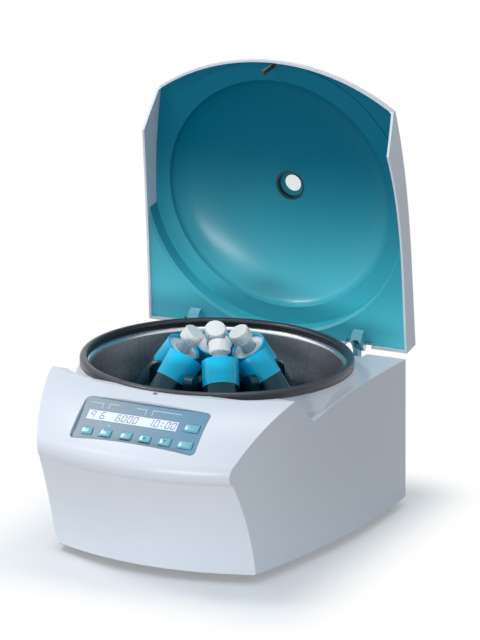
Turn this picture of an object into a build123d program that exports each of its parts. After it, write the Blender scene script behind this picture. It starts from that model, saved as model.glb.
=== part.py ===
from build123d import *
import os
from math import cos, radians, sin, sqrt

# Benchtop centrifuge with its lid open. Lengths in mm, angles in degrees.
# Everything is modelled with the rotor's axis on Z and the bench at z = 0, lid closed;
# the lid's pieces are then turned open, and all pieces are moved so that Z passes through
# the middle of the whole outline.
origin_shift_y = 11.2

# Housing: the outline seen from above, from the nose back to the rear wall
shell_bottom_z = 10.0
shell_top_z = 195.0
shell_wall = 3.0
strip_thickness = 11.0
front_arc_r = 286.0
nose_y, nose_z = -233.7, 136.0
bottom_front_y = -180.0
undercut_y, undercut_z = -227.0, 122.0
undercut_hollow = 4.0
brow_y, brow_z = -228.0, 147.0
fascia_mid_y, fascia_mid_z = -192.5, 178.5
fascia_top_y = -153.7
rear_y = 158.0
bottom_half_width = 165.0
deck_half_width = 159.5
side_top_z = 200.0
beyond = 300.0

# Deck, with the V-notches that the lid's teeth drop into
deck_rear_z = 171.0
deck_high_y, deck_high_z = 62.0, 174.5
deck_mid_y, deck_mid_z = -7.0, 172.0
notch_y, notch_z = -75.0, 162.0
horn_y = -115.1

# Collar round the bowl's mouth and the valley between it and the horns
collar_r = 151.0
collar_wall = 3.0
collar_top_z = 188.0
flare_width = 6.0
flare_top_z = 184.0
valley_ring_r = 161.0
valley_r = 12.0
valley_tilt = 17.0
valley_y, valley_z = -115.0, 196.0

# Bowl and its gasket
bowl_r = 138.8
bowl_floor_r = 131.0
bowl_corner_r = 22.0
bowl_sheet = 1.2
bowl_floor_z = 86.0
bowl_edge_r = 5.0
gasket_bulb_r = 4.4
gasket_top_z = 198.0

# Shaft, motor and bearings
shaft_r = 6.0
running_gap = 0.05
motor_r = 50.0
motor_bottom_z, motor_top_z = 17.0, 77.0
motor_wall = 4.0
bearing_r = 14.0
bearing_height = 8.0
damper_circle_r = 72.0
damper_r = 12.0
damper_height = 20.0
motor_plate_r = 88.0
motor_plate_thickness = 4.0
base_sheet = 2.5
foot_r = 14.0
screw_r = 2.0
screw_head_r = 4.0
screw_top_z, post_top_z, post_r = 27.0, 34.0, 6.5

# Rotor
places = 6
rotor_phase = -61.0
tilt = 36.0
mouth_r = 40.8
mouth_z = 200.5
carrier_r = 20.0
carrier_length, carrier_head = 82.0, 30.0
carrier_wall = 2.0
stem_r = 17.6
sleeve_r = 19.4
adapter_gap = 0.1
bore_r = 8.75
tube_r = 8.5
tube_length = 88.0
cap_r = 11.0
cap_height = 13.0
cap_lift = 10.6
filled_places = (0, 2, 3, 4)
rotor_bottom_z = 104.0
rotor_body_r = 112.0
rotor_shoulder_z = 136.0
rotor_crown_r, rotor_crown_z = 78.0, 158.0
rotor_core_z = 160.0
ear_centre_r, ear_centre_z, ear_r, ear_thickness = 65.5, 181.0, 9.0, 10.0

# Control panel, in its own sloping plane
panel_y, panel_z = -191.3, 168.4
panel_slope = 39.5
panel_width, panel_height = 145.0, 55.6
panel_corner_r = 6.0
panel_sheet = 1.5
panel_gap = 0.4
window_x, window_v = -11.8, 6.0
window_width, window_height = 105.0, 12.0
key_row_v = -15.0
key_columns = (-57.0, -35.0, -11.2, 10.9, 34.1)
key_width, key_height = 13.5, 9.4
wide_key_x, wide_key_width = 57.5, 17.0
start_key_v = 6.0
key_proud = 0.6
key_travel = 0.0008
key_gap = 0.35
board_depth = 9.6

# Lid
hinge_y, hinge_z = 163.5, 177.5
open_angle = 82.0
lid_wall = 2.5
lid_rear_y, lid_rear_half_width = 163.0, deck_half_width + 1.2
lid_corner_y, lid_corner_x = -114.2, deck_half_width - 15.5
lid_front_y = -160.0
lid_rim_z = 196.0
lid_shoulder_z, lid_shoulder_r = 205.0, 5.0
lid_top_z = 242.0
lid_gap = 1.5
dome_r = 148.0
dish_r = 136.0
dish_edge_z = 198.6
dish_top_z = 231.0
liner_wall = 2.4
web_rise = 1.2
corner_z = 178.5
ring_outer_r = 157.0
port_r = 17.5
port_window_r = 11.5
hinge_arm_x, hinge_arm_width = 101.5, 13.0
lug_width, lug_depth = 6.0, 11.0
hinge_pin_r = 3.0
striker_y, striker_width, striker_thickness = -154.2, 5.0, 3.0
striker_hole_z, striker_hole_r = 174.5, 2.4
striker_tip_z = 169.5
bolt_r = 1.9
bolt_start_x = -3.0

panel_plane = Plane(
    origin=(0, panel_y, panel_z),
    x_dir=(1, 0, 0),
    z_dir=(0, -sin(radians(panel_slope)), cos(radians(panel_slope))),
)
seat_z = collar_top_z
lip_z = seat_z + bowl_sheet


def sagitta(radius, half_chord):
    """Depth of an arc over half of its chord."""
    return radius - sqrt(radius**2 - half_chord**2)


def turned(points):
    """Solid of revolution about Z from (radius, height) points."""
    return revolve(Plane.XZ * make_face(Polyline(*points, close=True)), Axis.Z)


def ring(outer_r, inner_r, low, high, x=0.0, y=0.0):
    """Tube on a vertical axis."""
    disc = Pos(x, y, low) * extrude(Circle(outer_r), high - low)
    if inner_r > 0:
        disc -= Pos(x, y, low) * extrude(Circle(inner_r), high - low)
    return disc


def block(x0, x1, y0, y1, z0, z1):
    """Box from its lowest and highest corners."""
    box = Box(x1 - x0, y1 - y0, z1 - z0)
    return Pos((x0 + x1) / 2, (y0 + y1) / 2, (z0 + z1) / 2) * box


def crossbar(radius, length, x, y, z):
    """Round bar along X."""
    return Pos(x, y, z) * Rot(0, 90, 0) * Cylinder(radius, length)


def between(y0, y1, z0, z1):
    """Slab over the whole width."""
    return block(-beyond, beyond, y0, y1, z0, z1)


def front_profile():
    """Side view of the housing's front: hollow undercut, nose and rounded fascia."""
    run_y, run_z = undercut_y - bottom_front_y, undercut_z - shell_bottom_z
    run = sqrt(run_y**2 + run_z**2)
    hollow = (
        (bottom_front_y + undercut_y) / 2 + undercut_hollow * run_z / run,
        (shell_bottom_z + undercut_z) / 2 - undercut_hollow * run_y / run,
    )
    bottom, top = (bottom_front_y, shell_bottom_z), (fascia_top_y, shell_top_z)
    far, low = rear_y + 100.0, (bottom_front_y + 2.7, 0.0)
    with BuildLine() as line:
        Line(low, bottom)
        ThreePointArc(bottom, hollow, (undercut_y, undercut_z))
        ThreePointArc((undercut_y, undercut_z), (nose_y, nose_z), (brow_y, brow_z))
        ThreePointArc((brow_y, brow_z), (fascia_mid_y, fascia_mid_z), top)
        Polyline(top, (far, shell_top_z), (far, 0.0), low)
    return make_face(line.line)


def front_form(inset):
    """The front profile carried along the arc that the front follows from side to side."""
    profile = front_profile()
    if inset:
        profile = offset(profile, -inset, kind=Kind.INTERSECTION)
    sections = []
    for x in (-198.0, -130.0, -65.0, 0.0, 65.0, 130.0, 198.0):
        place = Plane(origin=(x, sagitta(front_arc_r, x), 0), x_dir=(0, 1, 0), z_dir=(1, 0, 0))
        sections.append(place * profile)
    return loft(sections)


def side_outline(points, inset):
    """Plan outline with two mirrored side curves and straight ends."""
    mirrored = [(-x, y) for x, y in reversed(points)]
    with BuildLine() as line:
        Spline(*points)
        Line(points[-1], mirrored[0])
        Spline(*mirrored)
        Line(mirrored[-1], points[0])
    outline = make_face(line.line)
    return offset(outline, -inset, kind=Kind.INTERSECTION) if inset else outline


def side_form(inset):
    """Body between the two side walls, which lean out at the front and in at the rear."""
    wide, narrow = bottom_half_width, deck_half_width
    low = [(0.37 * wide, -300.0), (0.712 * wide, -155.0), (0.876 * wide, -52.0)]
    low += [(0.988 * wide, 74.0), (wide, rear_y)]
    high = [(0.533 * narrow, -300.0), (0.746 * narrow, -210.0), (0.903 * narrow, horn_y)]
    high += [(0.962 * narrow, -41.5), (narrow, rear_y)]
    return loft(
        [
            Plane.XY * side_outline(low, inset),
            Plane.XY.offset(side_top_z) * side_outline(high, inset),
        ],
        ruled=True,
    )


def deck_form(drop, front_drop):
    """Everything under the deck, the notches' flanks and the top strip."""
    rear, front = rear_y + 10.0, nose_y - 30.0
    flank_z = shell_top_z - front_drop
    flank_y = horn_y - (shell_top_z - 194.0) + (drop and front_drop)
    with BuildLine() as line:
        Spline(
            (rear, deck_rear_z - drop),
            (deck_high_y, deck_high_z - drop),
            (deck_mid_y, deck_mid_z - drop),
            (notch_y, notch_z - drop),
        )
        Polyline(
            (notch_y, notch_z - drop),
            (flank_y, flank_z),
            (front, flank_z),
            (front, 0.0),
            (rear, 0.0),
            (rear, deck_rear_z - drop),
        )
    return extrude(Plane.YZ * make_face(line.line), beyond, both=True)


def valley(radius):
    """Tilted ring that hollows the corner between the collar and the horns."""
    lift = valley_z + valley_y * sin(radians(valley_tilt))
    tilted = Pos(0, 0, lift) * Rot(-valley_tilt, 0, 0) * Torus(valley_ring_r, radius)
    return tilted & between(nose_y, notch_y, 0, beyond)


def collar():
    """Round collar: seat for the bowl's lip, wall, and the flare that runs out on the deck."""
    wall_r = collar_r - collar_wall
    foot_r2, foot_z = collar_r + flare_width, deck_rear_z - 1
    wall = ring(collar_r, wall_r, notch_z - 4, collar_top_z)
    wall += ring(collar_r, bowl_r + bowl_edge_r + 0.3, collar_top_z - 5, collar_top_z)
    flare = turned(
        [
            (collar_r, flare_top_z), (foot_r2, foot_z), (foot_r2, foot_z - 12),
            (wall_r, foot_z - 12), (wall_r, flare_top_z),
        ]
    )
    flare &= between(horn_y + 15, rear_y, 0, beyond)
    return wall + (flare & lid_prism(lid_wall + 1.2, 0, beyond))


def panel_block(width, height, corner, low, high):
    """Rounded plate in the panel's plane, between two depths along its normal."""
    plate = extrude(RectangleRounded(width, height, corner), high - low)
    return panel_plane * Pos(0, 0, low) * plate


def on_panel(x, v, width, height, low, high):
    """Box in the panel's plane."""
    return panel_plane * Pos(x, v, (low + high) / 2) * Box(width, height, high - low)


def key_places():
    """Centre and width of every key on the panel."""
    keys = [(x, key_row_v, key_width) for x in key_columns]
    return keys + [(wide_key_x, key_row_v, wide_key_width), (wide_key_x, start_key_v, wide_key_width)]


hinge_slot = [
    block(s * hinge_arm_x - 12, s * hinge_arm_x + 12, 143.0, rear_y + 20, 150.0, side_top_z) for s in (-1, 1)
]
feet = ((0.473 * bottom_half_width, -104.0), (0.836 * bottom_half_width, rear_y - 28.0))
posts = (
    (0.682 * bottom_half_width, -150.0),
    (0.903 * bottom_half_width, 10.0),
    (0.957 * bottom_half_width, rear_y - 7.0),
)
foot_places = [(s * x, y) for s in (-1, 1) for x, y in feet]
post_places = [(s * x, y) for s in (-1, 1) for x, y in posts]
inlet_x, inlet_z, inlet_width, inlet_height = 60.0 - bottom_half_width, 46.0, 30.0, 24.0
switch_x, switch_width, switch_height = inlet_x + 45.0, 21.0, 27.0
lock_width, lock_y0, lock_y1, lock_z0 = 34.0, -164.0, -0.3 - collar_r, 150.0
lock_top_z = shell_top_z - strip_thickness


def housing_shell():
    above_base = between(-beyond, beyond, shell_bottom_z, beyond)
    sides = front_form(0) & side_form(0) & above_base
    outer = sides & deck_form(0, 0)
    inner = front_form(shell_wall) & side_form(shell_wall) & deck_form(shell_wall, strip_thickness)
    tray = panel_block(panel_width + 7, panel_height + 7, panel_corner_r + 3, -panel_sheet - 3, 0.0)
    inner -= valley(valley_r + shell_wall)
    shell = outer - inner
    shell -= ring(collar_r - collar_wall, 0, deck_rear_z - 30, side_top_z + 20)
    shell -= valley(valley_r)
    shell += collar() & sides
    shell -= ring(collar_r + 0.2, 0, lip_z, side_top_z + 20)
    shell += tray & outer
    seat = (panel_width + 2 * panel_gap, panel_height + 2 * panel_gap, panel_corner_r)
    shell -= panel_block(*seat, -panel_sheet, 40)
    shell -= panel_block(panel_width - 8, panel_height - 8, panel_corner_r - 2, -40, 0)
    for slot in hinge_slot:
        shell -= slot
    shell -= block(-2.5, 2.5, striker_y - 3.4, striker_y + 3.0, lock_top_z - 20, side_top_z)
    for x, y in post_places:
        shell += ring(post_r, 0, shell_bottom_z + base_sheet, post_top_z, x, y) & sides
        shell -= ring(screw_r, 0, shell_bottom_z, screw_top_z + 1, x, y)
    shell -= block(
        inlet_x - inlet_width / 2, inlet_x + inlet_width / 2, rear_y - 5, rear_y + 5,
        inlet_z - inlet_height / 2, inlet_z + inlet_height / 2,
    )
    shell -= block(
        switch_x - switch_width / 2, switch_x + switch_width / 2, rear_y - 5, rear_y + 5,
        inlet_z - switch_height / 2, inlet_z + switch_height / 2,
    )
    for i in range(9):
        x = 20.0 + i * 12.0
        shell -= block(x, x + 5.0, rear_y - 5, rear_y + 5, 40.0, 90.0)
    return shell


def build_base():
    """Chassis: base plate with its screws and the feet it stands on."""
    low, high = shell_bottom_z, shell_bottom_z + base_sheet
    inside = front_form(shell_wall + 0.5) & side_form(shell_wall + 0.5)
    inside &= between(-beyond, rear_y - shell_wall - 0.5, low, high)
    plate = extrude(inside.faces().sort_by(Axis.Z)[0], base_sheet, dir=(0, 0, 1))
    for x, y in post_places + foot_places:
        plate -= ring(screw_r + 0.3, 0, low - 5, high + 5, x, y)
    base_screws = []
    for x, y in post_places:
        head = ring(screw_head_r, 0, low - 2.4, low, x, y)
        base_screws.append(head + ring(screw_r - 0.1, 0, low - 2.4, screw_top_z, x, y))
    foot, screws = [], []
    for x, y in foot_places:
        pad = ring(foot_r, screw_r + 0.3, 0, low, x, y) - ring(5.0, 0, -1, 4.0, x, y)
        foot.append(pad)
        screw = ring(screw_head_r, 0, 2.0, 4.0, x, y) + ring(screw_r, 0, 2.0, high + 6, x, y)
        screws.append(screw + ring(screw_head_r, 0, high, high + 3, x, y))
    return {
        "base_plate": plate,
        "base_screws": Compound(base_screws),
        "rubber_feet": Compound(foot),
        "foot_screws": Compound(screws),
    }


def build_bowl():
    """Stainless bowl hung by its lip, the gasket on it and the grommet round the shaft."""
    def pot(grow):
        top_r, low_r = bowl_r + grow, bowl_floor_r + grow
        floor_z, corner = bowl_floor_z - grow, bowl_corner_r + grow
        roll_z = lip_z - bowl_edge_r
        with BuildLine() as line:
            Polyline((0, lip_z + 1), (bowl_r + bowl_edge_r, lip_z + 1), (bowl_r + bowl_edge_r, lip_z - grow))
            RadiusArc((bowl_r + bowl_edge_r, lip_z - grow), (top_r, roll_z), grow - bowl_edge_r)
            Line((top_r, roll_z), (low_r, floor_z + corner))
            RadiusArc((low_r, floor_z + corner), (low_r - corner, floor_z), corner)
            Polyline((low_r - corner, floor_z), (0, floor_z), (0, lip_z + 1))
        return revolve(Plane.XZ * make_face(line.line), Axis.Z)

    bowl = (pot(bowl_sheet) - pot(0)) & ring(collar_r, 0, 0, lip_z)
    bowl += ring(collar_r - 3.2, bowl_r + bowl_edge_r, seat_z, lip_z)
    bowl -= ring(17.0, 0, bowl_floor_z - 5, bowl_floor_z + 5)
    bulb_centre = (collar_r - gasket_bulb_r - 0.1, gasket_top_z - gasket_bulb_r)
    bulb = revolve(Plane.XZ * Pos(*bulb_centre) * Circle(gasket_bulb_r), Axis.Z)
    gasket = bulb + ring(collar_r - 0.5, collar_r - 8.2, lip_z, lip_z + 2.6)
    grommet = ring(20.0, shaft_r + 1.0, bowl_floor_z, bowl_floor_z + 2.4)
    grommet += ring(17.0, shaft_r + 1.0, bowl_floor_z - bowl_sheet - 2.0, bowl_floor_z)
    grommet += ring(20.0, shaft_r + 1.0, bowl_floor_z - bowl_sheet - 2.0, bowl_floor_z - bowl_sheet)
    return {"bowl": bowl, "bowl_gasket": gasket, "bowl_grommet": grommet}


def build_motor():
    """Motor hung from its plate on three rubber dampers, with its stator and bearings."""
    damper_low = shell_bottom_z + base_sheet
    plate_z = damper_low + damper_height
    plate_top = plate_z + motor_plate_thickness
    can = ring(motor_r, motor_r - motor_wall, motor_bottom_z, motor_top_z)
    for low in (motor_bottom_z, motor_top_z - bearing_height):
        can += ring(motor_r, bearing_r, low, low + bearing_height)
    plate = ring(motor_plate_r, motor_r, plate_z, plate_top)
    stator = ring(motor_r - motor_wall, 27.0, plate_z - 2, plate_z + 28)
    bearings = Compound(
        [ring(bearing_r, shaft_r + running_gap, low, low + bearing_height)
         for low in (motor_bottom_z, motor_top_z - bearing_height)]
    )
    dampers = []
    for i in range(3):
        angle = radians(90 + 120 * i)
        x, y = damper_circle_r * cos(angle), damper_circle_r * sin(angle)
        dampers.append(ring(damper_r, 0, damper_low, plate_z, x, y))
    return {
        "motor_housing": can,
        "motor_plate": plate,
        "motor_stator": stator,
        "motor_bearings": bearings,
        "motor_dampers": Compound(dampers),
    }


def build_panel():
    """Control panel in the sloping fascia: plate, window, display, board and key switches."""
    plate = panel_block(panel_width, panel_height, panel_corner_r - 0.4, -panel_sheet, 0.0)
    plate -= on_panel(window_x, window_v, window_width, window_height, -5, 5)
    board_low = -board_depth
    board_top = board_low + 1.6
    bosses = [(-63.0, 16.5), (63.0, 16.5), (-46.0, -18.0), (45.0, -18.0)]
    for x, v, width in key_places():
        plate -= on_panel(x, v, width + 2 * key_gap, key_height + 2 * key_gap, -5, 5)
    screws = []
    for x, v in bosses:
        post = panel_plane * Pos(x, v, board_top) * extrude(Circle(2.6), -panel_sheet - board_top)
        plate += post
        plate -= panel_plane * Pos(x, v, board_low) * extrude(Circle(0.9), 6.0)
        screw = panel_plane * Pos(x, v, board_low - 1.2) * extrude(Circle(2.0), 1.2)
        screws.append(screw + panel_plane * Pos(x, v, board_low - 1.2) * extrude(Circle(0.85), 6.4))
    window = on_panel(window_x, window_v, window_width - 0.2, window_height - 0.2, -panel_sheet, -0.3)
    behind = -panel_sheet
    display = on_panel(window_x, window_v, window_width + 3, window_height - 0.6, behind - 3.4, behind)
    board = on_panel(0, -3.5, 132.0, 45.0, board_low, board_top)
    for x, v in bosses:
        board -= panel_plane * Pos(x, v, board_low - 1) * extrude(Circle(1.1), 4.0)
    switches = []
    for x, v, width in key_places():
        switches.append(on_panel(x, v, 6.0, 6.0, board_top, -panel_sheet - 1.0 - 1.2))
    return {
        "control_panel": plate,
        "display_window": window,
        "display_module": display,
        "control_board": board,
        "key_switches": Compound(switches),
        "board_screws": Compound(screws),
    }


def build_keys():
    """Seven keys, each with a flange behind the plate that keeps it in."""
    keys = {}
    for i, (x, v, width) in enumerate(key_places()):
        low = -panel_sheet - 1.0
        cap = extrude(RectangleRounded(width, key_height, 1.6), key_proud - low)
        cap = panel_plane * Pos(x, v, low) * cap
        flange = on_panel(x, v, width + 1.4, key_height + 1.4, -panel_sheet - 1.0, -panel_sheet)
        keys[f"key_{i + 1}"] = cap + flange
    return keys


def build_lock():
    """Lid lock under the top strip, with the bolt that slides through the striker."""
    half = lock_width / 2
    case = block(-half, half, lock_y0, lock_y1, lock_z0, lock_top_z)
    case -= block(-3.2, 3.2, striker_y - 3.6, striker_y + 3.4, lock_z0 + 12, lock_top_z + 1)
    centre = (striker_y, striker_hole_z)
    case -= crossbar(bolt_r + running_gap, 24.0, 0, *centre)
    case -= crossbar(bolt_r + running_gap, 12.0, -half, *centre)
    coil = crossbar(3.6, 16.0, -half - 8.0, *centre)
    coil += block(-half - 16.0, -half, striker_y - 3.6, striker_y, striker_hole_z - 3.6, striker_hole_z + 3.6)
    coil -= crossbar(bolt_r + running_gap, 17.0, -half - 8.0, *centre)
    bolt = crossbar(bolt_r, 30.0, bolt_start_x - 15.4, *centre)
    return {"lock_case": case, "lock_solenoid": coil}, {"lock_bolt": bolt}


def build_rear():
    """Power entry in the rear wall and the power board behind it."""
    front = rear_y - shell_wall

    def upright(x, z, width, height, y0, y1):
        return block(x - width / 2, x + width / 2, y0, y1, z - height / 2, z + height / 2)

    inlet = upright(inlet_x, inlet_z, inlet_width, inlet_height, front - 20, rear_y)
    inlet += upright(inlet_x, inlet_z, inlet_width + 8, inlet_height + 6, rear_y, rear_y + 2.5)
    inlet -= upright(inlet_x, inlet_z - 3, 24, 14, rear_y - 15, rear_y + 3)
    inlet -= upright(inlet_x, inlet_z + 8.5, 16, 5, rear_y - 14, rear_y + 3)
    for x in (-7.0, 0.0, 7.0):
        inlet += upright(inlet_x + x, inlet_z - 3, 2, 4, rear_y - 17, rear_y - 3)
    drawer = upright(inlet_x, inlet_z + 8.5, 15.8, 4.8, rear_y - 13.9, rear_y + 2.5)
    drawer += upright(inlet_x, inlet_z + 8.5, 18, 6.6, rear_y + 2.5, rear_y + 4.0)
    w, h = switch_width, switch_height
    frame = upright(switch_x, inlet_z, w, h, front - 12, rear_y)
    frame += upright(switch_x, inlet_z, w + 4, h + 4, rear_y, rear_y + 1.8)
    frame -= upright(switch_x, inlet_z, w - 5, 22, front - 9, rear_y + 3)
    frame += crossbar(1.5, w - 5.0, switch_x, rear_y - 2.0, inlet_z)
    with BuildLine() as line:
        Polyline(
            (rear_y - 6.0, inlet_z - 3.0), (rear_y - 6.0, inlet_z + 3.0), (rear_y + 0.2, inlet_z + 10.2),
            (rear_y + 2.2, inlet_z + 10.2), (rear_y + 1.0, inlet_z), (rear_y + 3.8, inlet_z - 9.6),
            (rear_y + 2.0, inlet_z - 10.2), (rear_y - 6.0, inlet_z - 3.0),
        )
    rocker = Pos(switch_x, 0, 0) * extrude(Plane.YZ * make_face(line.line), w / 2 - 2.9, both=True)
    rocker -= crossbar(1.5 + running_gap, w, switch_x, rear_y - 2.0, inlet_z)
    post_low, board_z = shell_bottom_z + base_sheet, 20.5
    corners = [(x, y) for x in (-140.0, -84.0) for y in (24.0, 110.0)]
    posts = [ring(3.0, 0, post_low, board_z, x, y) for x, y in corners]
    board = block(-145.0, -79.0, 19.0, 115.0, board_z, board_z + 1.6)
    parts = block(-138.0, -112.0, 36.0, 62.0, board_z + 1.6, board_z + 24)
    parts += ring(11.0, 0, board_z + 1.6, board_z + 32, -98.0, 48.0)
    parts += ring(11.0, 0, board_z + 1.6, board_z + 32, -98.0, 74.0)
    parts += block(-140.0, -124.0, 76.0, 100.0, board_z + 1.6, board_z + 18)
    static = {
        "mains_inlet": inlet,
        "fuse_drawer": drawer,
        "switch_frame": frame,
        "power_board": board,
        "power_components": parts,
        "board_standoffs": Compound(posts),
    }
    return static, {"mains_switch": rocker}


def lid_outline(inset):
    """Face inside the lid's outline: curved sides, straight rear and the arc at the front."""
    rise = lid_corner_y - lid_front_y
    arc_r = (lid_corner_x**2 + rise**2) / (2 * rise)
    corner_x = lid_corner_x - inset
    corner_y = lid_front_y + arc_r - sqrt((arc_r - inset) ** 2 - corner_x**2)
    side = [(corner_x, corner_y), (0.9545 * lid_rear_half_width - inset, -41.5)]
    side.append((0.987 * lid_rear_half_width - inset, 62.0))
    side.append((lid_rear_half_width - inset, lid_rear_y - inset))
    mirrored = [(-x, y) for x, y in reversed(side)]
    with BuildLine() as line:
        Spline(*side)
        Line(side[-1], mirrored[0])
        Spline(*mirrored)
        ThreePointArc(mirrored[-1], (0, lid_front_y + inset), side[0])
    return make_face(line.line)


def lid_prism(inset, low, high):
    """Body inside the lid's outline."""
    return Pos(0, 0, low) * extrude(lid_outline(inset), high - low)


def lid_block(low):
    """Lid's outer body with its upper edge rolled over in a quarter round."""
    base_z = lid_shoulder_z - lid_shoulder_r
    layers = []
    for angle in (0, 30, 60, 90):
        inset = lid_shoulder_r * (1 - cos(radians(angle)))
        layers.append(Pos(0, 0, base_z + lid_shoulder_r * sin(radians(angle))) * lid_outline(inset))
    return lid_prism(0, low, base_z) + loft(layers)


def pan(edge_r, edge_z, top_z):
    """Shallow pan turned over: steep at its edge and nearly flat in the middle."""
    points = []
    for part in (1.0, 0.985, 0.95, 0.88, 0.77, 0.6, 0.35, 0.0):
        points.append((edge_r * part, edge_z + (top_z - edge_z) * (1 - part**2.4) ** 0.476))
    with BuildLine() as line:
        Spline(*points)
        Polyline((0, top_z), (0, edge_z - 1), (edge_r, edge_z - 1), (edge_r, edge_z))
    return revolve(Plane.XZ * make_face(line.line), Axis.Z)


def skirt_cut():
    """Space under the lid's skirt: it follows the deck, its notches and the top strip."""
    gap = lid_gap
    with BuildLine() as line:
        Spline(
            (lid_rear_y + 20, deck_rear_z + gap + 1.5),
            (deck_high_y, deck_high_z + gap),
            (deck_mid_y, deck_mid_z + gap),
            (notch_y + 0.5, notch_z + gap),
        )
        Polyline(
            (notch_y + 0.5, notch_z + gap),
            (lid_corner_y - 1.0, lid_rim_z),
            (lid_front_y - 20, lid_rim_z),
            (lid_front_y - 20, 100.0),
            (lid_rear_y + 20, 100.0),
            (lid_rear_y + 20, deck_rear_z + gap + 1.5),
        )
    return extrude(Plane.YZ * make_face(line.line), beyond, both=True)


def lid_corner(inset, low, edge_r):
    """Rear corners of the lid, outside the ring that closes on the gasket."""
    corner = lid_prism(inset, low, dish_edge_z + web_rise + liner_wall) - ring(edge_r, 0, 0, beyond)
    return corner & between(0, lid_rear_y, 0, beyond)


def build_lid():
    """Lid, modelled closed: white shell, dished liner, port, striker and hinge arms."""
    web_z = dish_edge_z + web_rise
    shell = lid_block(140.0) + pan(dome_r, lid_shoulder_z - 2, lid_top_z)
    cavity = lid_prism(lid_wall, 130.0, lid_shoulder_z - lid_wall)
    cavity += pan(dome_r - lid_wall, lid_shoulder_z - 5, lid_top_z - 3.0)
    shell = shell - cavity - skirt_cut()
    shell -= ring(port_r - 2.0, 0, dish_top_z, lid_top_z + 2)
    inset = lid_wall + 0.3
    liner = lid_prism(inset, web_z, web_z + liner_wall)
    liner += lid_prism(inset, dish_edge_z, web_z + liner_wall) & ring(ring_outer_r, 0, 0, beyond)
    bulge = pan(dish_r + 3.0, dish_edge_z, dish_top_z + liner_wall)
    liner += bulge & between(-beyond, beyond, dish_edge_z, beyond)
    liner += lid_corner(inset, corner_z, ring_outer_r)
    liner -= lid_corner(inset + 2.0, corner_z + 2.0, ring_outer_r + 2.0)
    liner -= pan(dish_r, dish_edge_z, dish_top_z)
    liner -= ring(port_r, 0, 190.0, 250.0)
    bevel = 3.0
    liner -= turned(
        [
            (ring_outer_r - 5, corner_z - 1), (ring_outer_r + bevel + 1, corner_z - 1),
            (ring_outer_r - 1, corner_z + bevel + 1), (ring_outer_r - 5, corner_z + bevel + 1),
        ]
    ) & between(0, lid_rear_y, 0, beyond)
    liner -= skirt_cut()
    for s in (-1, 1):
        x = s * hinge_arm_x
        shell -= block(x - 16, x + 16, lid_rear_y - 6, lid_rear_y + 4, 160.0, hinge_z + 5.5)
        liner -= block(x - 16, x + 16, lid_rear_y - 6.4, lid_rear_y + 4, 160.0, hinge_z + 5.5)
    funnel = turned(
        [
            (port_window_r - 1.5, lid_top_z - 3.5), (port_r - 2.2, lid_top_z - 3.5),
            (port_r - 2.2, lid_top_z + 0.5), (port_r + 3, lid_top_z + 0.5),
            (port_r + 3, lid_top_z + 1.5), (port_window_r, lid_top_z + 1.5),
            (port_window_r, lid_top_z - 1.5), (port_window_r - 1.5, lid_top_z - 1.5),
        ]
    )
    window = ring(port_window_r - 0.1, 0, lid_top_z - 1.5, lid_top_z + 0.7)
    throat = turned(
        [
            (port_r - 0.1, dish_top_z), (port_r - 0.1, lid_top_z - 3.7), (port_r - 2.2, lid_top_z - 3.7),
            (port_r - 2.2, dish_top_z),
        ]
    )
    t = striker_thickness / 2
    y0, y1 = striker_y - striker_width / 2, striker_y + striker_width / 2
    striker = block(-t, t, y0, y1, striker_tip_z, dish_edge_z)
    striker += block(-2 * t, 2 * t, y0, y1, dish_edge_z - 1.6, dish_edge_z)
    striker -= crossbar(striker_hole_r, 10, 0, striker_y, striker_hole_z)
    arms = []
    for s in (-1, 1):
        x = s * hinge_arm_x
        half = hinge_arm_width / 2
        with BuildLine() as line:
            Polyline(
                (hinge_y, hinge_z - 4.0), (hinge_y - 10.0, hinge_z - 11.0), (hinge_y - 17.0, hinge_z - 6.0),
                (hinge_y - 20.0, corner_z), (lid_rear_y - 6.2, corner_z),
                (lid_rear_y - 6.2, hinge_z + 4.6), (hinge_y, hinge_z + 4.6), (hinge_y, hinge_z - 4.0),
            )
        arm = Pos(x, 0, 0) * extrude(Plane.YZ * make_face(line.line), half, both=True)
        arm += crossbar(4.6, hinge_arm_width, x, hinge_y, hinge_z)
        gap_x = lug_width / 2 + 0.4
        arm -= block(x - gap_x, x + gap_x, hinge_y - lug_depth - 0.4, hinge_y + 6, 150.0, hinge_z + 6)
        arm -= crossbar(hinge_pin_r + running_gap, 60, x, hinge_y, hinge_z)
        arms.append(arm)
    return {
        "lid_shell": shell,
        "lid_liner": liner,
        "port_ring": funnel,
        "port_throat": throat,
        "port_window": window,
        "lid_striker": striker,
        "hinge_arms": Compound(arms),
    }


def build_hinge_mounts():
    """Steel mounts on the rear of the deck, with the pins that the lid turns on."""
    mounts, pins = [], []
    for s in (-1, 1):
        x = s * hinge_arm_x
        half = lug_width / 2
        mount = block(x - half, x + half, hinge_y - lug_depth, hinge_y, 159.0, hinge_z)
        mount += crossbar(4.0, lug_width, x, hinge_y, hinge_z)
        mount += block(x - 11.9, x + 11.9, rear_y - 14, rear_y + 2.5, 157.0, 160.0)
        mount += block(x - 11.9, x + 11.9, rear_y, rear_y + 2.5, 150.0, 160.0)
        mount -= crossbar(hinge_pin_r, 60, x, hinge_y, hinge_z)
        mounts.append(mount)
        pins.append(crossbar(hinge_pin_r, hinge_arm_width, x, hinge_y, hinge_z))
    return {"hinge_mounts": Compound(mounts), "hinge_pins": Compound(pins)}


def place_frame(i):
    """Frame at a carrier's mouth: its Z runs up along the leaning carrier's axis."""
    angle = rotor_phase + i * 360.0 / places
    return Rot(0, 0, angle) * Pos(mouth_r, 0, mouth_z) * Rot(0, -tilt, 0)


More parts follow.
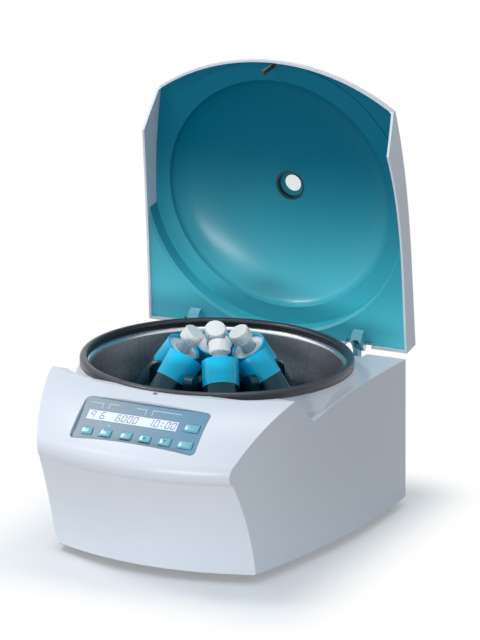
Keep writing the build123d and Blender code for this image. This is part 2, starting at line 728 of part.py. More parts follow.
def build_rotor():
    """Rotor on its shaft: six leaning carriers with adapters, and four capped tubes."""
    bottom, edge_r = rotor_bottom_z, rotor_body_r
    body = turned(
        [
            (0, bottom + 12), (24, bottom), (edge_r - 12, bottom), (edge_r, bottom + 10),
            (edge_r, rotor_shoulder_z), (edge_r - 16, rotor_shoulder_z + 12),
            (rotor_crown_r, rotor_crown_z), (40, rotor_core_z), (0, rotor_core_z),
        ]
    )
    foot, neck = -carrier_length, -carrier_head
    stem_length = carrier_length - carrier_head
    for i in range(places):
        body += place_frame(i) * Pos(0, 0, foot) * extrude(Circle(sleeve_r), stem_length)
        half = ear_thickness / 2
        ear = block(30, ear_centre_r + ear_r, -half, half, bottom + 20, ear_centre_z)
        ear += Pos(ear_centre_r, 0, ear_centre_z) * Rot(90, 0, 0) * Cylinder(ear_r, ear_thickness)
        body += Rot(0, 0, rotor_phase + (i + 0.5) * 360.0 / places) * ear
    nodes = {}
    adapters, tubes, caps = [], [], []
    for i in range(places):
        at = place_frame(i)
        body -= at * Pos(0, 0, foot) * extrude(Circle(stem_r), carrier_length)
        body -= at * Pos(0, 0, neck) * extrude(Circle(carrier_r), 60)
        cup = Pos(0, 0, foot) * extrude(Circle(stem_r), stem_length)
        cup += Pos(0, 0, neck) * extrude(Circle(carrier_r), carrier_head)
        cup -= Pos(0, 0, foot + 3) * extrude(Circle(stem_r - carrier_wall), carrier_length)
        cup -= Pos(0, 0, neck + 2) * extrude(Circle(carrier_r - carrier_wall), carrier_length)
        nodes[f"carrier_{i + 1}"] = at * cup
        neck_r, head_r = stem_r - carrier_wall - adapter_gap, carrier_r - carrier_wall - adapter_gap
        insert = Pos(0, 0, foot + 3) * extrude(Circle(neck_r), carrier_length - 6)
        insert += Pos(0, 0, neck + 2) * extrude(Circle(head_r), carrier_head - 5)
        insert -= Pos(0, 0, foot + 6) * extrude(Circle(bore_r), carrier_length)
        adapters.append(at * insert)
        if i in filled_places:
            low = 6.0 - carrier_length
            wall = 1.0
            body_length = cap_lift - low
            tube = Pos(0, 0, low + 9) * extrude(Circle(tube_r), body_length - 9 + cap_height - 2.5)
            tube += Pos(0, 0, low + 4.5) * Cone(2.0, tube_r, 9.0)
            hollow = Pos(0, 0, low + 9) * extrude(Circle(tube_r - wall), body_length + 20)
            hollow += Pos(0, 0, low + 5.0) * Cone(1.2, tube_r - wall, 8.0)
            tubes.append(at * (tube - hollow))
            cap = Pos(0, 0, cap_lift) * extrude(Circle(cap_r), cap_height)
            cap = fillet(cap.edges().sort_by(Axis.Z)[-1], 0.8)
            cap -= Pos(0, 0, cap_lift) * extrude(Circle(tube_r), cap_height - 2.5)
            caps.append(at * cap)
    core_top = rotor_core_z
    body -= ring(shaft_r, 0, 0, core_top + 1)
    body -= ring(11.0, 0, 0, bottom + 14)
    shaft = ring(shaft_r, 0, motor_bottom_z, core_top)
    shaft += ring(10.9, 0, bottom - 12, bottom + 14)
    armature_z = shell_bottom_z + base_sheet + damper_height
    armature = ring(26.0, shaft_r, armature_z, armature_z + 26)
    nut = ring(11.0, 0, core_top, core_top + 12) + ring(8.0, 0, core_top + 12, core_top + 18)
    nodes["rotor_body"] = body
    nodes["motor_shaft"] = shaft
    nodes["motor_armature"] = armature
    nodes["rotor_nut"] = nut
    nodes["tube_adapters"] = Compound(adapters)
    nodes["sample_tubes"] = Compound(tubes)
    nodes["tube_caps"] = Compound(caps)
    return nodes


lid_turn = Pos(0, hinge_y, hinge_z) * Rot(-open_angle, 0, 0) * Pos(0, -hinge_y, -hinge_z)
lock_static, lock_moving = build_lock()
rear_static, rear_moving = build_rear()
groups = [
    {"housing_shell": housing_shell()},
    build_base(),
    build_bowl(),
    build_motor(),
    build_panel(),
    build_keys(),
    lock_static,
    lock_moving,
    rear_static,
    rear_moving,
    build_hinge_mounts(),
    build_rotor(),
    {name: lid_turn * shape for name, shape in build_lid().items()},
]

os.makedirs("parts", exist_ok=True)
for group in groups:
    for name, shape in group.items():
        export_step(Pos(0, origin_shift_y, 0) * shape, f"parts/{name}.step")
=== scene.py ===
import bpy
from math import cos, pi, radians, sin
from mathutils import Matrix, Vector


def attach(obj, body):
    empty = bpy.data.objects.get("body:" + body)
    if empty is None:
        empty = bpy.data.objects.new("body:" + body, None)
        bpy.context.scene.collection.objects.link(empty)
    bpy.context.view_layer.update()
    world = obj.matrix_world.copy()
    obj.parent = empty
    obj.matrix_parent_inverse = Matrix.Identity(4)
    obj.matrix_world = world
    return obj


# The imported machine, as it stands on the bench with its lid open. Every CAD piece keeps its
# place; what follows paints them and adds the fine parts that are too small for the solids.
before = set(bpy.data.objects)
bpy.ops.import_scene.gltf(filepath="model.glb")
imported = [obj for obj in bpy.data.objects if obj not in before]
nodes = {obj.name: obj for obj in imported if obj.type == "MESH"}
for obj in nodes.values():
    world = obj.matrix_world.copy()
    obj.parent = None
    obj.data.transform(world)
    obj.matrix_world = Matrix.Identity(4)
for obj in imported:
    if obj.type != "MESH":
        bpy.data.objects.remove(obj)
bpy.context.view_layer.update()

# Camera: far off with a long lens, as the photographer's was, so that the sides of the machine
# run almost parallel. It looks down a little and from the right of the front.
camera = bpy.data.objects.new("camera", bpy.data.cameras.new("camera"))
bpy.context.scene.collection.objects.link(camera)
bpy.context.scene.camera = camera
turn, rise, roll, reach = radians(24.2), radians(15.7), radians(0.8), 3.9593
aim = Vector((-0.104, 0.3023, 0.150))
back = Vector((sin(turn) * cos(rise), -cos(turn) * cos(rise), sin(rise)))
level = Vector((0, 0, 1)).cross(back).normalized()
upright = back.cross(level)
across = cos(roll) * level + sin(roll) * upright
upward = cos(roll) * upright - sin(roll) * level
turned = Matrix((across, upward, back)).transposed().to_4x4()
camera.matrix_world = Matrix.Translation(aim + back * reach) @ turned
camera.data.lens = 187.1
camera.data.clip_end = 50.0


class Socket:
    """A socket in a node tree that is used in sums like a number. node() adds any other node beside it."""

    def __init__(self, tree, link=None):
        self.tree = tree
        self.link = link

    def node(self, kind, settings, sockets, output=0):
        made = self.tree.nodes.new(kind)
        for name, value in settings.items():
            setattr(made, name, value)
        for name, value in sockets.items():
            if isinstance(value, Socket):
                self.tree.links.new(value.link, made.inputs[name])
            else:
                made.inputs[name].default_value = value
        return Socket(self.tree, made.outputs[output] if made.outputs else None)

    def maths(self, operation, *values):
        return self.node("ShaderNodeMath", {"operation": operation}, dict(enumerate(values)))

    def __add__(self, other):
        return self.maths("ADD", self, other)

    def __radd__(self, other):
        return self.maths("ADD", other, self)

    def __sub__(self, other):
        return self.maths("SUBTRACT", self, other)

    def __rsub__(self, other):
        return self.maths("SUBTRACT", other, self)

    def __mul__(self, other):
        return self.maths("MULTIPLY", self, other)

    def __rmul__(self, other):
        return self.maths("MULTIPLY", other, self)

    def __pow__(self, other):
        return self.maths("POWER", self, other)

    def vector(self, operation, *values, output=0):
        return self.node("ShaderNodeVectorMath", {"operation": operation}, dict(enumerate(values)), output)

    def along(self, axis):
        """One coordinate of a place: X, Y or Z."""
        return self.node("ShaderNodeSeparateXYZ", {}, {0: self}, axis)

    def noise(self, scale, detail=2.0):
        """Cloudy noise over a place, from 0 to 1."""
        return self.node("ShaderNodeTexNoise", {}, {"Vector": self, "Scale": scale, "Detail": detail})

    def step(self, low, high):
        """0 below low and 1 above high, smooth in between."""
        ends = {"Value": self, "From Min": low, "From Max": high}
        return self.node("ShaderNodeMapRange", {"interpolation_type": "SMOOTHSTEP"}, ends)

    def mix(self, low, high):
        """Colour low where this is 0 and colour high where it is 1."""
        return self.node("ShaderNodeMix", {"data_type": "RGBA"}, {0: self, 6: low, 7: high}, 2)

    def bump(self, strength, depth=0.0002):
        """A normal for a surface that this raises by up to its depth, in metres."""
        return self.node("ShaderNodeBump", {}, {"Strength": strength, "Distance": depth, "Height": self})


# Room: a pale blue-white light from all sides, as from a studio's walls. The camera, mirrors and
# clear plastic see it plain white.
def sight(start):
    """1 for a ray from the camera, a mirror or clear plastic, and 0 for one that only carries light."""
    rays = start.node("ShaderNodeLightPath", {}, {}, "Is Camera Ray")
    rays = rays + start.node("ShaderNodeLightPath", {}, {}, "Is Glossy Ray")
    return rays + start.node("ShaderNodeLightPath", {}, {}, "Is Transmission Ray")


world = bpy.data.worlds.new("studio")
bpy.context.scene.world = world
world.use_nodes = True
world.node_tree.nodes.clear()
start = Socket(world.node_tree)
room = start.node("ShaderNodeBackground", {}, {"Color": (0.72, 0.87, 1.0, 1), "Strength": 0.46})
white = start.node("ShaderNodeBackground", {}, {"Color": (1, 1, 1, 1), "Strength": 1.0})
sky = start.node("ShaderNodeMixShader", {}, {0: sight(start), 1: room, 2: white})
start.node("ShaderNodeOutputWorld", {}, {"Surface": sky})


# Floor: a wide sheet of white studio paper that lies flat on the bench. It keeps the machine's
# shadow near the feet and runs out to plain white a hand's breadth from them.
def new_finish(name):
    """An empty material, and the place of each point of the piece it will cover."""
    material = bpy.data.materials.new(name)
    material.use_nodes = True
    material.node_tree.nodes.clear()
    place = Socket(material.node_tree).node("ShaderNodeTexCoord", {}, {}, "Object")
    return material, place


paper_half = 9.0
machine_half = (0.15, 0.20, 0.0)
shadow_reach = 0.095
sweep = bpy.data.meshes.new("floor")
corners = [(x * paper_half, y * paper_half, 0) for x, y in ((-1, -1), (1, -1), (1, 1), (-1, 1))]
sweep.from_pydata(corners, [], [(0, 1, 2, 3)])
floor = bpy.data.objects.new("floor", sweep)
bpy.context.scene.collection.objects.link(floor)
paper, place = new_finish("studio_paper")
fibre = place.noise(3.0).mix((0.80, 0.80, 0.80, 1), (0.84, 0.84, 0.84, 1))
rays = sight(place)
sheet = place.node("ShaderNodeBsdfDiffuse", {}, {"Color": fibre})
glow = place.node("ShaderNodeEmission", {}, {"Color": (1, 1, 1, 1), "Strength": rays * 0.20})
near = place.node("ShaderNodeAddShader", {}, {0: sheet, 1: glow})
far = place.node("ShaderNodeEmission", {}, {"Color": (1, 1, 1, 1), "Strength": rays * 0.8 + 0.2})
beside = place.vector("SUBTRACT", place.vector("ABSOLUTE", place), machine_half)
beside = place.vector("LENGTH", place.vector("MAXIMUM", beside, (0.0, 0.0, 0.0)), output="Value")
blend = place.node("ShaderNodeMixShader", {}, {0: beside.step(0.0, shadow_reach), 1: near, 2: far})
place.node("ShaderNodeOutputMaterial", {}, {"Surface": blend})
sweep.materials.append(paper)


# Lamps: a softbox overhead, a small one high on the left for the glint in the lid's dish, a strip
# on the left, and a long low box in front that fills the machine's hollow front.
def lamp(name, place, target, width, height, power, tint=(1.0, 1.0, 1.0)):
    """A softbox that faces a point."""
    light = bpy.data.lights.new(name, "AREA")
    light.shape = "RECTANGLE"
    light.size, light.size_y = width, height
    light.energy = power
    light.color = tint
    box = bpy.data.objects.new(name, light)
    bpy.context.scene.collection.objects.link(box)
    facing = (Vector(target) - Vector(place)).to_track_quat("-Z", "Y")
    box.matrix_world = Matrix.Translation(place) @ facing.to_matrix().to_4x4()


lamp("overhead", (0.0, 0.10, 2.2), (0, 0, 0.15), 0.9, 0.8, 8.5)
lamp("high_left", (-1.05, -0.45, 1.75), (0, 0.1, 0.2), 0.45, 0.35, 10)
lamp("left_strip", (-2.2, -0.6, 1.2), (0, 0, 0.2), 0.4, 1.6, 2, (1.0, 0.98, 0.96))
lamp("front_box", (0.25, -2.3, 0.10), (0, -0.1, 0.16), 1.1, 0.2, 24, (0.96, 0.98, 1.0))


# Housing: one white moulded shell, satin, with a fine spark texture. It is screwed to the
# base plate from below.
def paint(red, green, blue):
    """Linear colour of a paint that reads as these screen values, from 0 to 255."""
    linear = [((c / 255 + 0.055) / 1.055) ** 2.4 if c > 10 else c / 3295 for c in (red, green, blue)]
    return (*linear, 1.0)


def close_finish(material, place, sockets):
    """Ends a material in one Principled shader."""
    shader = place.node("ShaderNodeBsdfPrincipled", {}, sockets)
    place.node("ShaderNodeOutputMaterial", {}, {"Surface": shader})
    return material


def moulded(
    name, colour, roughness=0.38, grain=0.12, grain_size=0.0009, cloud=0.04, coat=0.0, shine=0.5
):
    """Moulded plastic: a faint cloudiness in the colour, and the fine spark texture of the mould."""
    material, place = new_finish(name)
    drift = place.noise(9.0, 3.0)
    spark = place.noise(1 / grain_size)
    deep = (*(c * (1 - cloud) for c in colour[:3]), 1.0)
    pale = (*(min(1.0, c * (1 + cloud)) for c in colour[:3]), 1.0)
    return close_finish(material, place, {
        "Base Color": drift.step(0.3, 0.7).mix(deep, pale),
        "Roughness": roughness + (spark - 0.5) * 0.10 + (drift - 0.5) * 0.08,
        "Normal": spark.bump(grain),
        "Coat Weight": coat,
        "Coat Roughness": 0.12,
        "Specular IOR Level": shine,
    })


def dress(finish, *names):
    """Gives CAD nodes a finish."""
    for name in names:
        mesh = nodes[name].data
        mesh.materials.clear()
        mesh.materials.append(finish)


shell_white = moulded("shell_white", paint(226, 229, 236), roughness=0.36, grain=0.10, cloud=0.012)
dress(shell_white, "housing_shell")

# Base and motor plates: zinc-plated steel sheet with its spangle, cut and drilled flat. The base
# closes the housing from below, and the motor hangs on the other.
plated, place = new_finish("plated_sheet")
spangle = place.node("ShaderNodeTexVoronoi", {}, {"Vector": place, "Scale": 160.0}, "Color")
shade = place.node("ShaderNodeSeparateColor", {}, {0: spangle})
haze = place.noise(30.0, 4.0)
close_finish(plated, place, {
    "Base Color": (shade * 0.5 + haze * 0.5).mix((0.34, 0.36, 0.38, 1), (0.52, 0.54, 0.56, 1)),
    "Metallic": 1.0,
    "Roughness": 0.30 + haze * 0.25,
})
dress(plated, "base_plate", "motor_plate")

# Feet, dampers and grommet: dull black rubber, pressed in a mould. The feet are screwed under the
# base, the dampers carry the motor plate, and the grommet seals the shaft's way into the bowl.
feet_rubber = moulded(
    "feet_rubber", (0.018, 0.018, 0.019, 1), roughness=0.72, grain=0.25, grain_size=0.0006, cloud=0.15
)
dress(feet_rubber, "rubber_feet", "motor_dampers", "bowl_grommet")


# Screws, standoffs, pins, shaft, bearings, nut and bolt: bright steel, turned on a lathe, which
# leaves fine lines that stack up along the axis.
def turned_metal(name, colour, roughness, pitch=2600.0):
    """Bare metal with fine lathe lines, so many to the metre of height."""
    material, place = new_finish(name)
    line = place.vector("MULTIPLY", place, (12.0, 12.0, pitch + 12.0)).noise(1.0, 3.0)
    smear = place.noise(45.0, 3.0)
    deep = (*(c * 0.86 for c in colour[:3]), 1.0)
    return close_finish(material, place, {
        "Base Color": (line * 0.6 + smear * 0.4).mix(deep, colour),
        "Metallic": 1.0,
        "Roughness": roughness + (line - 0.5) * 0.16 + (smear - 0.5) * 0.12,
        "Normal": line.bump(0.10),
    })


bright_steel = turned_metal("bright_steel", (0.62, 0.63, 0.65, 1), roughness=0.24)
dress(bright_steel, "base_screws", "foot_screws", "board_screws", "board_standoffs", "hinge_pins")
dress(bright_steel, "motor_bearings", "motor_shaft", "rotor_nut", "lock_bolt")


# Bowl: a deep pot drawn from stainless steel and brushed round, so that the lines circle the
# rotor's axis. Its rolled edge hangs on the housing's collar, under the gasket.
axis_y = 0.0112


def round_axis(place, pitch):
    """The place as lines that circle the rotor's axis see it, so many to the metre."""
    x = place.along("X")
    y = place.along("Y") - axis_y
    radius = (x * x + y * y) ** 0.5
    return place.node("ShaderNodeCombineXYZ", {}, {0: radius * pitch, 1: place.along("Z") * pitch})


bowl_steel, place = new_finish("bowl_steel")
brushed = round_axis(place, 1500.0).noise(1.0, 3.0)
from_axis = place.vector("SUBTRACT", place, (0.0, axis_y, 0.0))
streak = place.vector("MULTIPLY", from_axis, (180.0, 180.0, 5.0)).noise(1.0)
close_finish(bowl_steel, place, {
    "Base Color": (brushed * 0.6 + streak * 0.4).mix((0.55, 0.57, 0.61, 1), (0.70, 0.71, 0.75, 1)),
    "Metallic": 1.0,
    "Roughness": 0.28 + (brushed - 0.5) * 0.06 + (streak - 0.5) * 0.04,
    "Normal": brushed.bump(0.04, 0.0001),
})
dress(bowl_steel, "bowl")

# Gasket: a ring of dark rubber with a faint bloom, pressed on the bowl's edge all round. The
# closed lid bears on it.
gasket_rubber, place = new_finish("gasket_rubber")
skin = place.noise(700.0, 3.0)
close_finish(gasket_rubber, place, {
    "Base Color": place.noise(25.0, 3.0).mix(paint(38, 42, 50), paint(54, 58, 66)),
    "Roughness": 0.32 + (skin - 0.5) * 0.12,
    "Normal": skin.bump(0.18),
})
dress(gasket_rubber, "bowl_gasket")

# Motor and solenoid: cast aluminium housings, and a stator and armature of stacked iron sheets
# with copper in them. They hang under the bowl, out of sight.
cast_metal = turned_metal("cast_metal", (0.50, 0.51, 0.53, 1), roughness=0.42, pitch=300.0)
dress(cast_metal, "motor_housing", "lock_solenoid")
laminated = turned_metal("laminated", (0.34, 0.21, 0.13, 1), roughness=0.45, pitch=1800.0)
dress(laminated, "motor_stator", "motor_armature")

# Rotor body: turned aluminium, anodised dark blue-green. It sits on the shaft under its nut, and
# holds the six buckets in sloping sleeves.
rotor_dark, place = new_finish("rotor_dark")
lathe = round_axis(place, 1800.0).noise(1.0)
close_finish(rotor_dark, place, {
    "Base Color": lathe.mix(paint(10, 46, 58), paint(20, 66, 78)),
    "Metallic": 0.55,
    "Roughness": 0.26 + (lathe - 0.5) * 0.12,
    "Normal": lathe.bump(0.08),
})
dress(rotor_dark, "rotor_body")

# Buckets: bright blue moulded cups that drop into the rotor's sleeves, each with a white insert
# that fits the tube. The caps are moulded of the same white plastic and screw on the tubes.
bucket_blue = moulded(
    "bucket_blue", paint(0, 200, 240), roughness=0.30, grain=0.02, cloud=0.03, coat=0.15, shine=0.25
)
dress(bucket_blue, *[f"carrier_{number}" for number in range(1, 7)])
insert_white = moulded("insert_white", paint(240, 241, 240), roughness=0.45, grain=0.10, cloud=0.02)
dress(insert_white, "tube_adapters", "tube_caps")

# Cap grip: upright ribs round each of the four screw caps, moulded with the cap, so that gloved
# fingers can turn it. Two of the six places are empty.
rib_sizes = {"Count": 22, "Radius": 0.0110, "Width": 0.0017, "Height": 0.0106, "Seed": 4}
rib_tree = bpy.data.node_groups.new("cap_ribs", "GeometryNodeTree")
for name in rib_sizes:
    kind = "NodeSocketInt" if name in ("Count", "Seed") else "NodeSocketFloat"
    rib_tree.interface.new_socket(name, in_out="INPUT", socket_type=kind)
rib_tree.interface.new_socket("Material", in_out="INPUT", socket_type="NodeSocketMaterial")
rib_tree.interface.new_socket("Mesh", in_out="OUTPUT", socket_type="NodeSocketGeometry")
entry = Socket(rib_tree).node("NodeGroupInput", {}, {})
given = {socket.name: Socket(rib_tree, socket) for socket in entry.link.node.outputs if socket.name}
circle = {"Vertices": given["Count"], "Radius": given["Radius"]}
circle = entry.node("GeometryNodeMeshCircle", {}, circle)
size = {0: given["Width"], 1: given["Width"], 2: given["Height"]}
rib = entry.node("GeometryNodeMeshCube", {}, {"Size": entry.node("ShaderNodeCombineXYZ", {}, size)})
outward = {"Vector": entry.node("GeometryNodeInputPosition", {}, {})}
outward = entry.node("FunctionNodeAlignEulerToVector", {"axis": "X"}, outward)
swell = {2: 0.94, 3: 1.06, "Seed": given["Seed"]}
swell = entry.node("FunctionNodeRandomValue", {"data_type": "FLOAT"}, swell, 1)
copies = {"Points": circle, "Instance": rib, "Rotation": outward, "Scale": swell}
copies = entry.node("GeometryNodeInstanceOnPoints", {}, copies)
solid = entry.node("GeometryNodeRealizeInstances", {}, {"Geometry": copies})
solid = entry.node("GeometryNodeSetMaterial", {}, {"Geometry": solid, "Material": given["Material"]})
entry.node("NodeGroupOutput", {}, {"Mesh": solid})

host = bpy.data.objects.new("rib_host", bpy.data.meshes.new("rib_host"))
bpy.context.scene.collection.objects.link(host)
grip = host.modifiers.new("ribs", "NODES")
grip.node_group = rib_tree
for socket in rib_tree.interface.items_tree:
    if socket.in_out == "INPUT":
        grip[socket.identifier] = insert_white if socket.name == "Material" else rib_sizes[socket.name]
host.update_tag()
one_cap = bpy.data.meshes.new_from_object(host.evaluated_get(bpy.context.evaluated_depsgraph_get()))
bpy.data.objects.remove(host)

first_place, lean = radians(-61.0), radians(-36.0)
mouth = (0.0408, 0, 0.2005)
ribs_middle = 0.0106 + 0.0060
points, faces = [], []
for place_number in (0, 2, 3, 4):
    round_to = Matrix.Rotation(first_place + radians(60.0) * place_number, 4, "Z")
    seat = Matrix.Translation((0, axis_y, 0)) @ round_to @ Matrix.Translation(mouth)
    seat = seat @ Matrix.Rotation(lean, 4, "Y") @ Matrix.Translation((0, 0, ribs_middle))
    faces += [tuple(i + len(points) for i in face.vertices) for face in one_cap.polygons]
    points += [seat @ vertex.co for vertex in one_cap.vertices]
mesh = bpy.data.meshes.new("cap_grip")
mesh.from_pydata(points, [], faces)
mesh.materials.append(insert_white)
cap_grip = bpy.data.objects.new("cap_grip", mesh)
bpy.context.scene.collection.objects.link(cap_grip)
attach(cap_grip, "rotor")

# Sample tubes: four clear tubes of faintly blue plastic, blown thin and smooth. They stand in
# the inserts with their necks in view.
tube_plastic, place = new_finish("tube_plastic")
flow = place.noise(60.0)
close_finish(tube_plastic, place, {
    "Base Color": flow.mix(paint(216, 234, 250), paint(242, 249, 255)),
    "Roughness": 0.08 + flow * 0.08,
    "Alpha": 0.42,
    "IOR": 1.5,
})
dress(tube_plastic, "sample_tubes")

# Control panel: a blue-gray plate with a printed film, glued into a recess of the sloping front.
# Its blue grows stronger to the right.
panel_half_width = 0.5 / 6.6
panel_blue, place = new_finish("panel_blue")
film = place.noise(900.0)
to_the_right = (place.along("X") * (0.5 / panel_half_width) + 0.5).step(0.0, 1.0)
close_finish(panel_blue, place, {
    "Base Color": to_the_right.mix(paint(120, 140, 154), paint(78, 132, 162)),
    "Roughness": 0.34 + (film - 0.5) * 0.1,
    "Normal": film.bump(0.06),
})
dress(panel_blue, "control_panel")

# Keys and display: seven keys of teal silicone in the plate's openings, and a pale display
# behind a clear window that is glued in from the back.
key_teal = moulded("key_teal", paint(104, 176, 190), roughness=0.24, grain=0.03, cloud=0.04, coat=0.6)
dress(key_teal, *[f"key_{number}" for number in range(1, 8)])
display_pale = moulded("display_pale", paint(226, 234, 250), roughness=0.30, grain=0.02, cloud=0.02)
dress(display_pale, "display_window", "display_module")

# Display figures: slanted marks of seven bars, in purple-gray ink just over the window. They
# show a run at 6000 turns a minute for ten minutes.
panel_home = Vector((0.0, axis_y - 0.1913, 0.1684))
panel_rise = radians(39.5)
panel_up = Vector((0.0, cos(panel_rise), sin(panel_rise)))
panel_out = Vector((0.0, -sin(panel_rise), cos(panel_rise)))


def on_panel(x, v, height):
    """Point over the panel from its place in millimetres: across, up the slope, above the plate."""
    return panel_home + Vector((x, 0, 0)) / 1000 + panel_up * v / 1000 + panel_out * height / 1000


def oblong(x0, x1, v0, v1, height):
    """A printed rectangle on the panel."""
    return [on_panel(x, v, height) for x, v in ((x0, v0), (x1, v0), (x1, v1), (x0, v1))]


def flat_piece(name, shapes, finish, body):
    """Thin printed shapes, each a ring of points, joined in one mesh that moves with a body."""
    points, faces = [], []
    for shape in shapes:
        faces.append(tuple(range(len(points), len(points) + len(shape))))
        points += shape
    mesh = bpy.data.meshes.new(name)
    mesh.from_pydata(points, [], faces)
    mesh.materials.append(finish)
    piece = bpy.data.objects.new(name, mesh)
    bpy.context.scene.collection.objects.link(piece)
    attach(piece, body)


figure_ink = moulded("figure_ink", paint(98, 92, 150), roughness=0.5, grain=0.02, cloud=0.06)
figure_line, figure_height, slant = 6.1, -0.22, 0.16
bar_half, dot_half = 0.42, 0.7
bars = {
    "a": ((-1.8, 4.0), (1.8, 4.0)), "b": ((2.0, 3.8), (2.0, 0.3)), "c": ((2.0, -0.3), (2.0, -3.8)),
    "d": ((-1.8, -4.0), (1.8, -4.0)), "e": ((-2.0, -0.3), (-2.0, -3.8)),
    "f": ((-2.0, 3.8), (-2.0, 0.3)), "g": ((-1.7, 0.0), (1.7, 0.0)),
}
figures = {"9": "abcfg", "6": "acdefg", "0": "abcdef", "1": "bc"}
marks = []
for sign, centre in (
    ("9", -58.0), ("6", -46.6), ("6", -28.0), ("0", -21.4), ("0", -14.8), ("0", -8.2),
    ("1", 9.6), ("0", 16.6), ("0", 29.6), ("0", 36.2),
):
    for bar in figures[sign]:
        start_end, far_end = Vector(bars[bar][0]), Vector(bars[bar][1])
        run = (far_end - start_end).normalized()
        side = Vector((-run.y, run.x)) * bar_half
        corners = (start_end - side, far_end - side, far_end + side, start_end + side)
        marks.append([
            on_panel(centre + q.x + slant * q.y, figure_line + q.y, figure_height) for q in corners
        ])
for v in (4.2, 8.2):
    x = 23.0 + slant * (v - figure_line)
    marks.append(oblong(x - dot_half, x + dot_half, v - dot_half, v + dot_half, figure_height))
flat_piece("display_figures", marks, figure_ink, "base")

# Panel print: pale bracket lines over the display's four fields and a dot over the second key,
# screen-printed on the film.
pale_ink = moulded("pale_ink", paint(196, 220, 232), roughness=0.45, grain=0.02, cloud=0.05)
strokes = []
for x0, x1, v_top, x_leg, v_leg in (
    (-65.0, -50.5, 21.0, -50.8, 14.7), (-43.6, -32.7, 21.4, -43.3, 15.3),
    (-11.3, 0.2, 20.9, -0.1, 14.2), (7.2, 40.4, 21.2, 7.5, 14.8),
):
    strokes.append(oblong(x0, x1, v_top - 0.35, v_top + 0.35, 0.05))
    strokes.append(oblong(x_leg - 0.32, x_leg + 0.32, v_leg, v_top, 0.06))
dot_x, dot_v, dot_r = -35.0, -5.4, 0.9
sixteenths = [a * pi / 8 for a in range(16)]
strokes.append([on_panel(dot_x + dot_r * cos(a), dot_v + dot_r * sin(a), 0.05) for a in sixteenths])
flat_piece("panel_print", strokes, pale_ink, "base")

# Key pads: the domed tops of the seven keys, of the same glossy silicone and moulded with them,
# so that lamps glint on them.
key_row, key_edge, pad_round = -15.0, 0.1, 0.45
pad_half_height, pad_points = 4.6, 32
pad_rings = ((1.0, 0.55), (0.985, 1.1), (0.94, 1.55), (0.84, 1.85), (0.66, 2.0), (0.4, 2.1), (0.15, 2.12))
key_centres = [(x, key_row, 13.5) for x in (-57.0, -35.0, -11.2, 10.9, 34.1)]
key_centres += [(57.5, key_row, 17.0), (57.5, 6.0, 17.0)]
for number, (key_x, key_v, key_width) in enumerate(key_centres, 1):
    half_width = key_width / 2 - key_edge
    points, faces = [], []
    for share, height in pad_rings:
        for a in range(pad_points):
            c, s = cos(2 * pi * a / pad_points), sin(2 * pi * a / pad_points)
            x = abs(c) ** pad_round * (1 if c >= 0 else -1) * share * half_width
            v = abs(s) ** pad_round * (1 if s >= 0 else -1) * share * pad_half_height
            points.append(on_panel(key_x + x, key_v + v, height))
    for ring in range(len(pad_rings) - 1):
        for a in range(pad_points):
            low, high = ring * pad_points, (ring + 1) * pad_points
            b = (a + 1) % pad_points
            faces.append((low + a, low + b, high + b, high + a))
    faces.append(tuple(range(len(points) - pad_points, len(points))))
    mesh = bpy.data.meshes.new(f"key_pad_{number}")
    mesh.from_pydata(points, [], faces)
    mesh.shade_smooth()
    mesh.materials.append(key_teal)
    pad = bpy.data.objects.new(f"key_pad_{number}", mesh)
    bpy.context.scene.collection.objects.link(pad)
    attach(pad, f"key_{number}_body")

# Key marks: plain triangles printed in dark teal on the fourth and fifth pads, one up and one
# down, for setting a value.
deep_ink = moulded("deep_ink", paint(0, 118, 138), roughness=0.4, grain=0.02, cloud=0.05)
for number, key_x, tip in ((4, 10.9, 1), (5, 34.1, -1)):
    triangle = [(-2.3, -1.7 * tip), (2.3, -1.7 * tip), (0.0, 2.3 * tip)]
    if tip < 0:
        triangle.reverse()
    shape = [on_panel(key_x + x, key_row + v, 2.2) for x, v in triangle]
    flat_piece(f"key_mark_{number}", [shape], deep_ink, f"key_{number}_body")

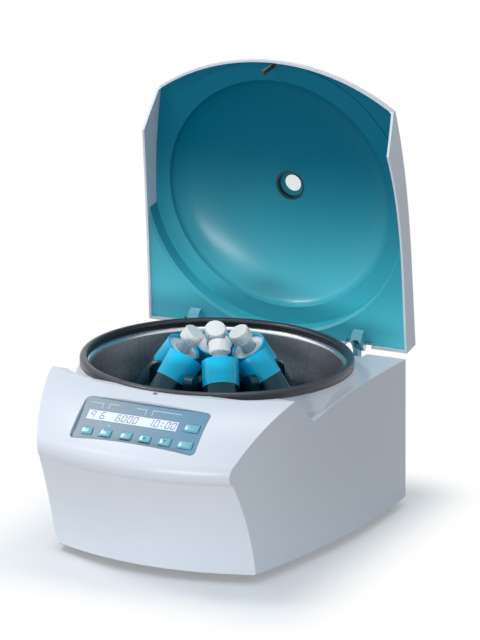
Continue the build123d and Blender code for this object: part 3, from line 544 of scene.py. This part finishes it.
# Boards: the control board behind the panel and the power board on its standoffs, both of
# green lacquered glass-fibre sheet.
board_green = moulded(
    "board_green", paint(28, 96, 56), roughness=0.35, grain=0.3, grain_size=0.003, cloud=0.25
)
dress(board_green, "control_board", "power_board")

# Lock, key switches, power parts and mains entry: black mouldings of hard plastic, clipped or
# screwed in their openings. The striker hangs from the lid and drops into the lock.
black_moulding = moulded("black_moulding", (0.020, 0.021, 0.023, 1), roughness=0.42, grain=0.18, cloud=0.10)
dress(black_moulding, "lock_case", "key_switches", "power_components", "lid_striker")
dress(black_moulding, "mains_inlet", "fuse_drawer", "switch_frame", "mains_switch")

# Lid: an outer shell of the housing's white plastic over a dished teal liner that clips in.
# The liner's colour is painted paler near its hinge than at its front: painted light and painted
# reflection of the white deck. Its coat is also glossier near the hinge.
dress(shell_white, "lid_shell")
liner_teal, place = new_finish("liner_teal")
spark = place.noise(1100.0)
# Painted light: 0 near the hinge, where the liner is painted pale, rising to 1 towards its front.
painted_light_and_gloss = (place.along("Z") + (place.noise(7.0) - 0.5) * 0.03).step(0.15, 0.40)
close_finish(liner_teal, place, {
    "Base Color": painted_light_and_gloss.mix(paint(84, 208, 222), paint(0, 104, 128)),
    "Roughness": 0.36 + (spark - 0.5) * 0.08,
    "Normal": spark.bump(0.05),
    "Coat Weight": painted_light_and_gloss.mix((0.9, 0.9, 0.9, 1), (0.0, 0.0, 0.0, 1)),
    "Coat Roughness": 0.26,
    "Specular IOR Level": 0.12,
})
dress(liner_teal, "lid_liner", "port_ring")

# Hinges: two forked arms on the lid and two lugs on the deck, painted a lighter teal than the
# liner. A steel pin goes through each pair.
arm_teal = moulded("arm_teal", paint(120, 196, 212), roughness=0.34, grain=0.05, cloud=0.03, coat=0.2)
dress(arm_teal, "hinge_arms", "hinge_mounts")

# Viewing port: a throat through both skins of the lid, painted dark teal as painted shade inside
# the hole, and a clear disc of plastic that sits in the teal ring.
throat_painted_shade = moulded("throat_painted_shade", paint(14, 40, 52), roughness=0.4, grain=0.05, cloud=0.05)
dress(throat_painted_shade, "port_throat")
port_clear, place = new_finish("port_clear")
close_finish(port_clear, place, {
    "Base Color": (0.95, 0.97, 1.0, 1),
    "Roughness": 0.05 + place.noise(120.0) * 0.08,
    "Alpha": 0.25,
    "IOR": 1.5,
})
dress(port_clear, "port_window")

bpy.context.scene.view_settings.view_transform = "Standard"
